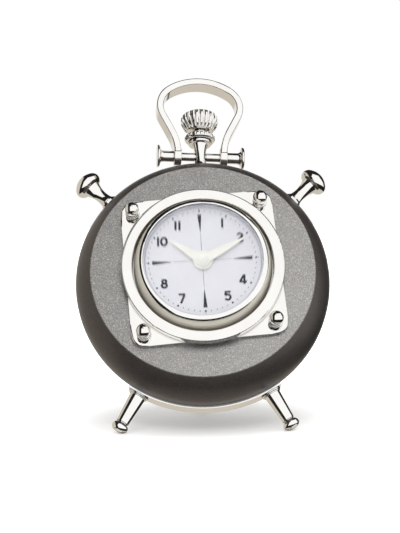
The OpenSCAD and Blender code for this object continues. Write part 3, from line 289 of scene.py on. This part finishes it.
# %% Steel and brass
def steel(name):
    """Satin steel of nuts, screws and the cell's can, with fine turning marks."""
    mat, shader = new_material(name, Metallic=1.0)
    where = add(mat, "TexCoord").outputs["Object"]
    streak = add(mat, "Mapping", {"Vector": where, "Scale": (1, 1, 0.12)}).outputs["Vector"]
    marks = noise(mat, 0.25, 4, 0.6, streak)
    link(mat, ramp(mat, marks, (0.3, (0.50, 0.50, 0.50)), (0.7, (0.68, 0.68, 0.67))),
         shader.inputs["Base Color"])
    link(mat, ramp(mat, marks, (0.3, 0.24), (0.7, 0.42)), shader.inputs["Roughness"])
    bump(mat, shader, marks, 0.01, 0.4)
    return mat


def brushed_brass(name, dark, light):
    mat, shader = new_material(name, Metallic=1.0)
    where, _ = clock_coordinates(mat)
    lines = add(mat, "Mapping", {"Vector": where, "Scale": (1, 0.06, 1)}).outputs["Vector"]
    grain = noise(mat, 0.2, 4, 0.6, lines)
    link(mat, ramp(mat, grain, (0.3, dark), (0.7, light)), shader.inputs["Base Color"])
    link(mat, ramp(mat, grain, (0.3, 0.2), (0.7, 0.36)), shader.inputs["Roughness"])
    bump(mat, shader, grain, 0.008, 0.4)
    return mat


# %% Coil and mouldings
WIRE_MM = 0.16


def windings(name):
    """Enamelled copper wire laid side by side round the coil's core."""
    mat, shader = new_material(name, Metallic=0.75, Coat_Weight=0.6, Coat_Roughness=0.12)
    _, (right, _, _) = clock_coordinates(mat)
    turns = add(mat, "Math", {0: right, 1: 2 * math.pi / (WIRE_MM * MM)}, operation="MULTIPLY")
    wave = add(mat, "Math", {0: turns.outputs["Value"]}, operation="SINE").outputs["Value"]
    ridges = add(mat, "MapRange", {"Value": wave, "From Min": -1.0, "From Max": 1.0})
    height = ridges.outputs["Result"]
    # the colour is darker in the valleys between wires: painted shade
    link(mat, ramp(mat, height, (0.1, (0.20, 0.06, 0.025)), (0.8, (0.62, 0.25, 0.10))),
         shader.inputs["Base Color"])
    link(mat, ramp(mat, noise(mat, 1.2), (0.3, 0.22), (0.7, 0.38)), shader.inputs["Roughness"])
    bump(mat, shader, height, 0.04, 0.8)
    return mat


def moulded(name, dark, light, rough, grain_mm=0.35, depth_mm=0.012):
    mat, shader = new_material(name)
    where = add(mat, "TexCoord").outputs["Object"]
    grain = noise(mat, grain_mm, 4, 0.55, where)
    cloud = noise(mat, 7.0, 2, 0.5, where)
    link(mat, ramp(mat, cloud, (0.3, dark), (0.7, light)), shader.inputs["Base Color"])
    link(mat, ramp(mat, grain, (0.3, rough - 0.07), (0.7, rough + 0.07)),
         shader.inputs["Roughness"])
    bump(mat, shader, grain, depth_mm, 0.7)
    return mat


# %% [markdown]
# ## Crystal
# The crystal is real glass with a thickness, because the dial has to be seen through it. Its
# coating against reflections lets more than half of what is seen pass unchanged, which keeps
# the dial clear. Light for the dial passes straight through too, so that the glass casts no
# dark caustic shadow.

# %% Crystal
COATING = 0.65


def crystal():
    mat, shader = new_material("crystal", Base_Color=(0.985, 0.99, 1.0, 1), Roughness=0.015,
                               IOR=1.46, Transmission_Weight=1.0)
    rays = add(mat, "LightPath")
    clear = add(mat, "BsdfTransparent", {"Color": (0.96, 0.965, 0.975, 1)})
    bump(mat, shader, noise(mat, 12.0, 3), 0.002, 0.3)
    share = add(mat, "Math", {0: rays.outputs["Is Shadow Ray"], 1: COATING}, operation="MAXIMUM")
    mix = add(mat, "MixShader", {0: share.outputs["Value"], 1: shader.outputs["BSDF"],
                                 2: clear.outputs["BSDF"]})
    link(mat, mix.outputs["Shader"], mat.node_tree.nodes["Material Output"].inputs["Surface"])
    return mat


# %% [markdown]
# ## Dial, print and hands
# The dial is a disc of aluminium with a matt lavender-white lacquer. The print is dark slate
# ink a few hundredths of a millimetre thick. The hands are stamped and filled with a cream
# luminous paint, which is slightly grainy and duller than lacquer.


# %% Lacquer, ink and luminous paint
def lacquer(name, dark, light, rough, grain_mm=0.25, depth_mm=0.004, **sockets):
    mat, shader = new_material(name, **sockets)
    where = add(mat, "TexCoord").outputs["Object"]
    cloud = noise(mat, 10.0, 3, 0.5, where)
    grain = noise(mat, grain_mm, 3, 0.6, where)
    link(mat, ramp(mat, cloud, (0.3, dark), (0.7, light)), shader.inputs["Base Color"])
    link(mat, ramp(mat, grain, (0.3, rough - 0.08), (0.7, rough + 0.08)),
         shader.inputs["Roughness"])
    bump(mat, shader, grain, depth_mm, 0.6)
    return mat


# %% [markdown]
# ## Which piece gets which finish
# One table names the nodes that share a finish. Each finish is made once, and the count
# printed at the end shows that no node was left bare.

# %% Table of finishes
FINISHES = {
    paint(): ["body_shell", "back_cover"],
    polished("polished_nickel"):
        ["face_plate", "bezel_ring", "ball_posts", "stem", "collar", "crown", "cross_bar",
         "bar_sleeves", "bow", "pusher_left", "pusher_right", "cradle_band", "leg_left",
         "leg_right", "leg_rear", "foot_left", "foot_right", "foot_rear"],
    turned_skirt("turned_nickel"): ["insert_ring"],
    steel("satin_steel"): ["back_screws", "post_nuts", "stem_nut", "plate_pillars", "battery"],
    crystal(): ["lens"],
    lacquer("rehaut_satin", (0.58, 0.58, 0.62), (0.66, 0.66, 0.70), 0.35, Metallic=0.6):
        ["rehaut"],
    lacquer("dial_lacquer", (0.785, 0.775, 0.795), (0.815, 0.805, 0.825), 0.6): ["dial"],
    lacquer("luminous_cream", (0.86, 0.85, 0.76), (0.92, 0.91, 0.83), 0.55, 0.3, 0.02):
        ["hour_hand", "minute_hand", "hand_cap"],
    brushed_brass("brushed_brass", (0.55, 0.38, 0.14), (0.80, 0.62, 0.30)):
        ["main_plate", "cover_plate", "hour_wheel", "cannon_pinion", "minute_wheel", "set_arbor",
         "battery_contact"],
    windings("coil_windings"): ["coil"],
    moulded("black_moulding", (0.018, 0.018, 0.020), (0.030, 0.030, 0.033), 0.48):
        ["insert_can", "battery_cover", "set_knob"],
    moulded("white_moulding", (0.66, 0.655, 0.62), (0.74, 0.735, 0.70), 0.5):
        ["movement_housing"],
    moulded("gasket_rubber", (0.014, 0.014, 0.014), (0.026, 0.026, 0.025), 0.72, 0.2, 0.02):
        ["gasket"],
    moulded("board_lacquer", (0.012, 0.075, 0.038), (0.02, 0.11, 0.055), 0.3, 0.8, 0.006):
        ["circuit_board"],
}

# %% Dress every node of the part
dressed = 0
for finish, names in FINISHES.items():
    for name in names:
        mesh = frame["nodes"][name].data
        mesh.materials.clear()
        mesh.materials.append(finish)
        dressed += 1
print(dressed, "nodes dressed of", len(frame["nodes"]))

# %% [markdown]
# ## Print on the dial
# A watch dial is pad-printed: a thin, even film of ink. It is built as flat ribbons a few
# hundredths of a millimetre thick, so it has a real edge and turns up in the exported mesh
# too. A ribbon follows a centre line, and every mark is one or more ribbons: dots are very
# short round ones, the wedges at 12, 3, 6 and 9 change their width, and the numerals are
# drawn from lines and arcs in plain sans-serif shapes. In the photo the dial sits turned a
# little in the clock and its print is slightly off the middle, so the print here is too.

# %% Ribbon helpers
# underside and top of the ink over the dial
INK_MM = (0.002, 0.03)
# degrees, counter-clockwise
DIAL_TURN = 2.6
PRINT_SHIFT_MM = (-0.35, 0.15)
ink_verts, ink_faces = [], []


def clock_point(x_mm, y_mm, z):
    right, up = PRINT_SHIFT_MM
    return FROM_CLOCK @ Vector(((x_mm + right) * MM, (y_mm + up) * MM, z))


def slab(outline):
    """A flat prism of ink over an outline given in dial millimetres, counter-clockwise."""
    n, base = len(outline), len(ink_verts)
    for z in (dial_height + lift * MM for lift in INK_MM):
        ink_verts.extend(clock_point(x, y, z) for x, y in outline)
    ink_faces.append([base + n + i for i in range(n)])
    ink_faces.append([base + i for i in reversed(range(n))])
    for i in range(n):
        j = (i + 1) % n
        ink_faces.append([base + i, base + j, base + n + j, base + n + i])


def ribbon(points, width):
    """A band of even width along a centre line, cut square at both ends."""
    left, right = [], []
    for i, (x, y) in enumerate(points):
        x0, y0 = points[max(i - 1, 0)]
        x1, y1 = points[min(i + 1, len(points) - 1)]
        length = math.hypot(x1 - x0, y1 - y0)
        nx, ny = -(y1 - y0) / length, (x1 - x0) / length
        stretch = 1.0
        if 0 < i < len(points) - 1:
            ax, ay = x - x0, y - y0
            step = math.hypot(ax, ay)
            stretch = 1 / max(abs((ax * (x1 - x0) + ay * (y1 - y0)) / (step * length)), 0.5)
        left.append((x + nx * width / 2 * stretch, y + ny * width / 2 * stretch))
        right.append((x - nx * width / 2 * stretch, y - ny * width / 2 * stretch))
    for i in range(len(points) - 1):
        slab([left[i], right[i], right[i + 1], left[i + 1]])


def arc(cx, cy, rx, ry, start, end, steps):
    return [(cx + rx * math.cos(math.radians(start + (end - start) * i / steps)),
             cy + ry * math.sin(math.radians(start + (end - start) * i / steps)))
            for i in range(steps + 1)]


def disc(cx, cy, radius, corners):
    slab([(cx + radius * math.cos(2 * math.pi * i / corners),
           cy + radius * math.sin(2 * math.pi * i / corners)) for i in range(corners)])


# %% [markdown]
# ### Numerals
# Each numeral is drawn in a box one unit high with its middle at the origin. Keeping them as
# lists of strokes makes it easy to see their shapes and to change their weight.

# %% Shapes of the numerals
# stroke's width, as a share of the height
STROKE = 0.215
GLYPHS = {
    "0": (0.66, [arc(0, 0, 0.24, 0.405, 90, 450, 28)]),
    "1": (0.34, [[(0, -0.5), (0, 0.5)]]),
    "2": (0.62, [arc(0, 0.20, 0.21, 0.205, 165, -20, 14) + [(-0.20, -0.36)],
                 [(-0.28, -0.405), (0.30, -0.405)]]),
    "4": (0.68, [[(0.10, -0.5), (0.10, 0.5)], [(0.06, 0.43), (-0.26, -0.20)],
                 [(-0.33, -0.235), (0.31, -0.235)]]),
    "5": (0.62, [[(0.25, 0.405), (-0.17, 0.405)], [(-0.165, 0.49), (-0.19, 0.02)],
                 arc(-0.005, -0.135, 0.235, 0.265, 140, -150, 18)]),
    "7": (0.60, [[(-0.28, 0.405), (0.28, 0.405)], [(0.21, 0.34), (-0.08, -0.5)]]),
    "8": (0.64, [arc(0, 0.225, 0.17, 0.18, 90, 450, 24),
                 arc(0, -0.195, 0.215, 0.21, 90, 450, 24)]),
}

# %% Numerals
NUMERAL_MM = 4.9
NUMERAL_WIDE = 1.14
NUMERAL_RADIUS = 21.6


def numeral(text, cx, cy, height):
    widths = [GLYPHS[c][0] * NUMERAL_WIDE for c in text]
    x = cx - sum(widths) * height / 2
    for c, width in zip(text, widths):
        x += width * height / 2
        for stroke in GLYPHS[c][1]:
            ribbon([(x + px * NUMERAL_WIDE * height, cy + py * height) for px, py in stroke],
                   STROKE * height)
        x += width * height / 2


def on_dial(hour, radius):
    """A place on the turned dial: hour 12 is up."""
    angle = math.radians(90 - hour * 30 + DIAL_TURN)
    return radius * math.cos(angle), radius * math.sin(angle)


for hour in (1, 2, 4, 5, 7, 8, 10, 11):
    numeral(str(hour), *on_dial(hour, NUMERAL_RADIUS), NUMERAL_MM)
print(len(ink_faces), "faces of ink after the numerals")

# %% [markdown]
# ### Dots, wedges and the thin cross
# A ring of dots marks the minutes, with bigger ones at the hours. The wedges point at the
# middle from 12, 3, 6 and 9, and hairlines run on from them across the dial.

# %% Dots, wedges and hairlines
DOT_RADIUS = 25.7
# radius in mm, and number of corners
HOUR_DOT, MINUTE_DOT = (0.50, 14), (0.25, 8)
# both ends of a wedge: distance from the middle and half the width, in mm
WEDGE = ((23.9, 0.98), (14.8, 0.10))
# both ends of each hairline: distance from the middle, in mm
HAIRLINES = ((13.9, 4.6), (27.2, 25.0))
HAIRLINE_MM = 0.15


def spot(hour, radius, sideways):
    """A place on the line from the middle to an hour, or so far beside that line."""
    angle = math.radians(90 - hour * 30 + DIAL_TURN)
    return (math.cos(angle) * radius - math.sin(angle) * sideways,
            math.sin(angle) * radius + math.cos(angle) * sideways)


for minute in range(60):
    dot_radius, corners = MINUTE_DOT if minute % 5 else HOUR_DOT
    disc(*on_dial(minute / 5, DOT_RADIUS), dot_radius, corners)
for hour in (0, 3, 6, 9):
    (far, wide), (near, narrow) = WEDGE
    slab([spot(hour, far, -wide), spot(hour, near, -narrow), spot(hour, near, narrow),
          spot(hour, far, wide)])
    for outer, inner in HAIRLINES:
        ribbon([spot(hour, outer, 0), spot(hour, inner, 0)], HAIRLINE_MM)
print(len(ink_faces), "faces of ink in all")

# %% [markdown]
# ### One piece of ink
# All the ink becomes one mesh. It rides on the insert, because it comes out with the dial.

# %% Make the print one piece
ink_mesh = bpy.data.meshes.new("dial_print")
ink_mesh.from_pydata(ink_verts, [], ink_faces)
ink_mesh.update()
dial_print = bpy.data.objects.new("dial_print", ink_mesh)
bpy.context.scene.collection.objects.link(dial_print)
dial_print.data.materials.append(
    lacquer("slate_ink", (0.018, 0.020, 0.034), (0.026, 0.028, 0.046), 0.6, 0.3, 0.003,
            Specular_IOR_Level=0.2))
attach(dial_print, "insert")

# %% [markdown]
# ## Floor
# The clock stands on a pale seamless sheet, a matt surface that keeps the cast shadow. For
# the camera the sheet also has light of its own, a little near the clock and full further out,
# so that its far edge melts into the white background. That glow also paints the shadow's
# outline: the shadow fades out in a ring round a point a little behind the clock.

# %% Floor
FLOOR_SIZE = 8.0
# the sheet's own light starts at this share near the clock and is full further out
FLOOR_GLOW = 0.22
GLOW_FROM, GLOW_TO = 0.035, 0.12
# the middle of that ring, round which the shadow's outline is painted, lies a little behind the
# clock's
PAINTED_SHADOW_MIDDLE = 0.014


def pale_floor():
    mat, shader = new_material("paper_sheet", Base_Color=(0.84, 0.835, 0.825, 1), Roughness=0.75)
    where = add(mat, "TexCoord").outputs["Object"]
    bump(mat, shader, noise(mat, 0.6, 3, vector=where), 0.01, 0.2)
    middle = add(mat, "VectorMath", {0: where, 1: (0, PAINTED_SHADOW_MIDDLE, 0)}, operation="SUBTRACT")
    away = add(mat, "VectorMath", {0: middle.outputs["Vector"]}, operation="LENGTH")
    glow = add(mat, "MapRange", {"Value": away.outputs["Value"], "From Min": GLOW_FROM,
                                 "From Max": GLOW_TO, "To Min": FLOOR_GLOW,
                                 "To Max": 1.0}).outputs["Result"]
    rays = add(mat, "LightPath").outputs
    seen = add(mat, "Math", {0: rays["Is Camera Ray"], 1: rays["Is Transmission Ray"]},
               operation="MAXIMUM").outputs["Value"]
    light = add(mat, "Math", {0: glow, 1: seen}, operation="MULTIPLY").outputs["Value"]
    shader.inputs["Emission Color"].default_value = (1, 1, 1, 1)
    link(mat, light, shader.inputs["Emission Strength"])
    return mat


bpy.ops.mesh.primitive_plane_add(size=FLOOR_SIZE, location=(0, 0, 0))
floor = bpy.context.object
floor.name = "paper_sheet"
floor.data.materials.append(pale_floor())
floor.visible_glossy = False
print("a sheet", FLOOR_SIZE, "m wide, hidden from reflections")

# %% [markdown]
# ## Light
# Polished metal needs something to reflect. The world plays the studio: for the camera it is
# plain white, for matt surfaces an even soft grey, and for reflections a room with one large
# white soft box in front, a dark gap round it, and warm white paper everywhere else. The room
# is laid out as a mirror ball would show it. On such a ball x and y run from -1 to 1: its
# middle shows the camera, its rim what is behind the clock, which is a pale backdrop. The dark
# gap becomes the thin black lines that make metal read as metal.

# %% A world and small helpers for its nodes
world = bpy.data.worlds.new("studio")
bpy.context.scene.world = world
world.use_nodes = True
# half the width of the soft edge between two areas of the room
EDGE = 0.015


def calc(kind, a, b=0.0):
    return add(world, "Math", {0: a, 1: b}, operation=kind).outputs["Value"]


def above(value, limit):
    """1 where the value is over the limit, 0 below, with a narrow soft edge."""
    return add(world, "MapRange", {"Value": value, "From Min": limit - EDGE,
                                   "From Max": limit + EDGE},
               interpolation_type="SMOOTHSTEP").outputs["Result"]


def below(value, limit):
    return calc("SUBTRACT", 1.0, above(value, limit))


def mix(fac, a, b):
    values = {0: fac}
    for key, value in ((6, a), (7, b)):
        values[key] = (value, value, value, 1) if isinstance(value, float) else value
    return add(world, "Mix", values, data_type="RGBA").outputs[2]


# %% The mirror ball's x and y
axes = add(world, "SeparateXYZ", {"Vector": add(world, "TexCoord").outputs["Generated"]})
ball_size = calc("SQRT", calc("SUBTRACT", 2.0, calc("MULTIPLY", axes.outputs["Y"], 2.0)))
ball_x = calc("DIVIDE", axes.outputs["X"], ball_size)
ball_y = calc("DIVIDE", axes.outputs["Z"], ball_size)

# %% The soft box, its two upper corners cut off at a slant
BOX = {"left": -0.28, "right": 0.78, "low": -0.25, "high": 0.58}
# the box keeps slope * x - y over the left limit and x + slope * y under the right one
LEFT_CUT = {"slope": 1.4, "limit": -0.66}
RIGHT_CUT = {"slope": 0.5, "limit": 0.84}
across = calc("MULTIPLY", above(ball_x, BOX["left"]), below(ball_x, BOX["right"]))
upright = calc("MULTIPLY", above(ball_y, BOX["low"]), below(ball_y, BOX["high"]))
left_slant = calc("SUBTRACT", calc("MULTIPLY", ball_x, LEFT_CUT["slope"]), ball_y)
right_slant = calc("ADD", ball_x, calc("MULTIPLY", ball_y, RIGHT_CUT["slope"]))
corners_off = calc("MULTIPLY", above(left_slant, LEFT_CUT["limit"]),
                   below(right_slant, RIGHT_CUT["limit"]))
box = calc("MULTIPLY", calc("MULTIPLY", across, upright), corners_off)

# %% Paper, dark gap and backdrop
# paper lies to the left and below; the rest of the gap round the box is dark
GAP = {"left": -0.56, "low": -0.64, "high": 0.70}
RIM = 0.975
BOX_LIGHT, DARK = 1.05, 0.015
PAPER, BACKDROP = (0.62, 0.57, 0.495, 1), (0.86, 0.85, 0.82, 1)
left_paper = calc("MULTIPLY", below(ball_x, GAP["left"]), below(ball_y, GAP["high"]))
paper = calc("MAXIMUM", left_paper, below(ball_y, GAP["low"]))
ball_edge = calc("SQRT", calc("MULTIPLY", calc("ADD", axes.outputs["Y"], 1.0), 0.5))
room = mix(above(ball_edge, RIM), mix(paper, DARK, PAPER), BACKDROP)
reflected = mix(box, room, BOX_LIGHT)

# %% What each kind of ray sees
# matt surfaces get more of their light from above than from below
AMBIENT = {"low": 0.50, "high": 0.70}
AMBIENT_Z = {"low": -0.6, "high": 0.5}
rays = add(world, "LightPath").outputs
ambient = add(world, "MapRange", {"Value": axes.outputs["Z"], "From Min": AMBIENT_Z["low"],
                                  "From Max": AMBIENT_Z["high"], "To Min": AMBIENT["low"],
                                  "To Max": AMBIENT["high"]}).outputs["Result"]
plain = mix(rays["Is Glossy Ray"], ambient, reflected)
seen = calc("MAXIMUM", rays["Is Camera Ray"], rays["Is Transmission Ray"])
link(world, mix(seen, plain, 1.0), world.node_tree.nodes["Background"].inputs["Color"])
print(len(world.node_tree.nodes), "nodes make the studio")

# %% [markdown]
# ## Lamps
# Two soft lamps light the matt surfaces and cast the shadow. A third, small one stands low in
# front and lights the painted drum alone, through light linking. It brings out the flakes and
# makes the face lighter at one side than at the other, as in the photo.

# %% Lamps
LAMPS = {
    "key_lamp": {"place": (-0.25, -0.75, 0.95), "side": 0.7, "watts": 2.2},
    "top_lamp": {"place": (0.15, -0.05, 1.1), "side": 0.7, "watts": 3.6},
    "flake_lamp": {"place": (0.04, -0.36, 0.37), "side": 0.18, "watts": 0.58},
}


def lamp(name, place, side, watts):
    """A square soft lamp aimed at the middle of the face, unseen in reflections."""
    light = bpy.data.lights.new(name, "AREA")
    light.shape = "RECTANGLE"
    light.size = light.size_y = side
    light.energy = watts
    thing = bpy.data.objects.new(name, light)
    thing.location = place
    thing.rotation_euler = (FACE - Vector(place)).to_track_quat("-Z", "Y").to_euler()
    thing.visible_glossy = False
    bpy.context.scene.collection.objects.link(thing)
    return thing


lamps = {name: lamp(name, **values) for name, values in LAMPS.items()}
print("lamps:", list(lamps))

# %% Only the paint gets the flake lamp, and shows it in its gloss
painted = bpy.data.collections.new("painted")
for name in ("body_shell", "back_cover"):
    painted.objects.link(frame["nodes"][name])
lamps["flake_lamp"].visible_glossy = True
lamps["flake_lamp"].light_linking.receiver_collection = painted

# %% [markdown]
# ## Camera
# The photo was taken from a little above the clock's middle, slightly turned, at about
# 0.6 m. The values were found by matching the outlines of the drum, plate and legs.

# %% Camera
AZIMUTH, ELEVATION, ROLL = math.radians(0.57), math.radians(3.25), math.radians(-0.87)
DISTANCE = 0.60347
LENS, SENSOR = 84.29, 36.0
# the camera aims a little beside the middle of the face
AIM_MM = (-1.42, 0, 0.95)
target = FACE + Vector(AIM_MM) * MM
ahead = Vector((math.sin(AZIMUTH) * math.cos(ELEVATION), math.cos(AZIMUTH) * math.cos(ELEVATION),
                -math.sin(ELEVATION)))
side = Vector((math.cos(AZIMUTH), -math.sin(AZIMUTH), 0))
overhead = side.cross(ahead)
cam_right = side * math.cos(ROLL) + overhead * math.sin(ROLL)
cam_up = overhead * math.cos(ROLL) - side * math.sin(ROLL)

# %% Place the camera
cam_data = bpy.data.cameras.new("camera")
cam_data.lens = LENS
cam_data.sensor_width = SENSOR
camera = bpy.data.objects.new("camera", cam_data)
turn = Matrix((cam_right, cam_up, -ahead)).transposed().to_4x4()
turn.translation = target - ahead * DISTANCE
camera.matrix_world = turn
bpy.context.scene.collection.objects.link(camera)
bpy.context.scene.camera = camera
bpy.context.scene.view_settings.view_transform = "Standard"
print("camera at", [round(v, 3) for v in camera.location])
